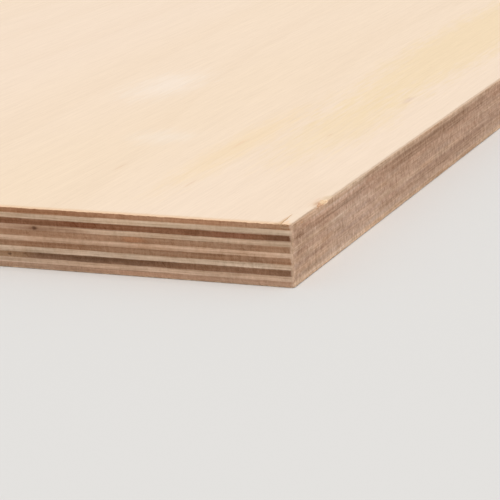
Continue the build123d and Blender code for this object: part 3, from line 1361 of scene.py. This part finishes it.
class SHEET_OT_loose_fibres(bpy.types.Operator):
    """Makes the slivers that stand loose in the chip, along the split and on the sawn edges near them"""

    bl_idname = "sheet.loose_fibres"
    bl_label = "Loose fibres"

    def execute(self, context):
        scene = context.scene
        draw = random.Random(scene.sheet_shape.fibre_seed)
        bm = bmesh.new()
        for tuft in TUFTS:
            for _ in range(tuft.count):
                add_fibre(bm, draw, tuft)
        wood = plain_material("loose fibres", scene.sheet_finish.torn[:], 0.3)
        piece = add_piece(scene, "loose_fibres", bm, [wood])
        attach(piece, "root")
        return {"FINISHED"}


class SHEET_OT_crossbands(bpy.types.Operator):
    """Makes the crossbands, whose grain runs across the face's"""

    bl_idname = "sheet.crossbands"
    bl_label = "Crossbands"

    def execute(self, context):
        make_veneers(context.scene, [node for node in VENEERS if runs_across(node)])
        return {"FINISHED"}


class SHEET_OT_long_plies(bpy.types.Operator):
    """Makes the inner plies whose grain runs along the face's"""

    bl_idname = "sheet.long_plies"
    bl_label = "Long plies"

    def execute(self, context):
        make_veneers(context.scene, [node for node in VENEERS[1:-1] if not runs_across(node)])
        return {"FINISHED"}


class SHEET_OT_back_veneer(bpy.types.Operator):
    """Makes the back veneer"""

    bl_idname = "sheet.back_veneer"
    bl_label = "Back veneer"

    def execute(self, context):
        make_veneers(context.scene, VENEERS[-1:])
        return {"FINISHED"}


def make_floor(scene, studio):
    """A plain pale floor, just clear of the sheet's underside."""
    clear = 0.1 * MM
    bm = bmesh.new()
    bmesh.ops.create_grid(bm, x_segments=1, y_segments=1, size=studio.floor_size / 2)
    bmesh.ops.translate(bm, vec=(0, 0, LOW.z - clear), verts=bm.verts[:])
    material, _, shader = start_material("floor")
    shader.inputs["Base Color"].default_value = (*studio.floor, 1)
    shader.inputs["Roughness"].default_value = 0.9
    floor = add_piece(scene, "floor", bm, [material])


def make_light(scene, studio):
    """Even light from all around, and one wide soft lamp overhead."""
    world = bpy.data.worlds.new("studio")
    world.use_nodes = True
    tree = world.node_tree
    tree.nodes["Background"].inputs["Color"].default_value = (1, 1, 1, 1)
    tree.nodes["Background"].inputs["Strength"].default_value = studio.sky
    scene.world = world
    lamp = bpy.data.lights.new("lamp", "SUN")
    lamp.energy = studio.lamp
    lamp.angle = studio.lamp_spread
    stand = bpy.data.objects.new("lamp", lamp)
    turn = Matrix.Rotation(studio.lamp_turn, 3, "Z") @ Matrix.Rotation(studio.lamp_lean, 3, "X")
    stand.rotation_euler = turn.to_euler()
    scene.collection.objects.link(stand)


def make_camera(scene, studio):
    """The photograph's view of the damaged corner."""
    camera = bpy.data.cameras.new("camera")
    camera.lens = studio.lens
    camera.clip_start = 10 * MM
    camera.clip_end = 100.0
    stand = bpy.data.objects.new("camera", camera)
    turn = Matrix.Rotation(studio.camera_turn, 3, "Z")
    dip = Matrix.Rotation(math.pi / 2 - studio.camera_dip, 3, "X")
    roll = Matrix.Rotation(studio.camera_roll, 3, "Z")
    stand.rotation_euler = (turn @ dip @ roll).to_euler()
    stand.location = CORNER + Vector(studio.camera_offset)
    scene.collection.objects.link(stand)
    scene.camera = stand


class SHEET_OT_studio(bpy.types.Operator):
    """Makes the floor, the light and the camera"""

    bl_idname = "sheet.studio"
    bl_label = "Studio"

    def execute(self, context):
        scene = context.scene
        make_floor(scene, scene.sheet_studio)
        make_light(scene, scene.sheet_studio)
        make_camera(scene, scene.sheet_studio)
        scene.view_settings.view_transform = "Standard"
        return {"FINISHED"}


OPERATORS = (
    SHEET_OT_face_veneer, SHEET_OT_loose_fibres, SHEET_OT_crossbands, SHEET_OT_long_plies,
    SHEET_OT_back_veneer, SHEET_OT_studio,
)


class SHEET_PT_sheet(bpy.types.Panel):
    """Lists the sheet's steps, sizes and colours"""

    bl_idname = "SHEET_PT_sheet"
    bl_label = "Plywood Sheet"
    bl_space_type = "VIEW_3D"
    bl_region_type = "UI"
    bl_category = "Plywood"

    def draw(self, context):
        for operator in OPERATORS:
            self.layout.operator(operator.bl_idname)
        for settings in (context.scene.sheet_shape, context.scene.sheet_finish, context.scene.sheet_studio):
            box = self.layout.box()
            for name in type(settings).__annotations__:
                box.prop(settings, name)


CLASSES = (SheetShape, SheetFinish, SheetStudio, *OPERATORS, SHEET_PT_sheet)


def register():
    for item in CLASSES:
        bpy.utils.register_class(item)
    bpy.types.Scene.sheet_shape = bpy.props.PointerProperty(type=SheetShape)
    bpy.types.Scene.sheet_finish = bpy.props.PointerProperty(type=SheetFinish)
    bpy.types.Scene.sheet_studio = bpy.props.PointerProperty(type=SheetStudio)


def unregister():
    del bpy.types.Scene.sheet_studio
    del bpy.types.Scene.sheet_finish
    del bpy.types.Scene.sheet_shape
    for item in reversed(CLASSES):
        bpy.utils.unregister_class(item)


def main():
    """Makes the sheet and the studio."""
    register()
    bpy.ops.sheet.face_veneer()
    bpy.ops.sheet.loose_fibres()
    bpy.ops.sheet.crossbands()
    bpy.ops.sheet.long_plies()
    bpy.ops.sheet.back_veneer()
    bpy.ops.sheet.studio()


if __name__ == "__main__":
    main()
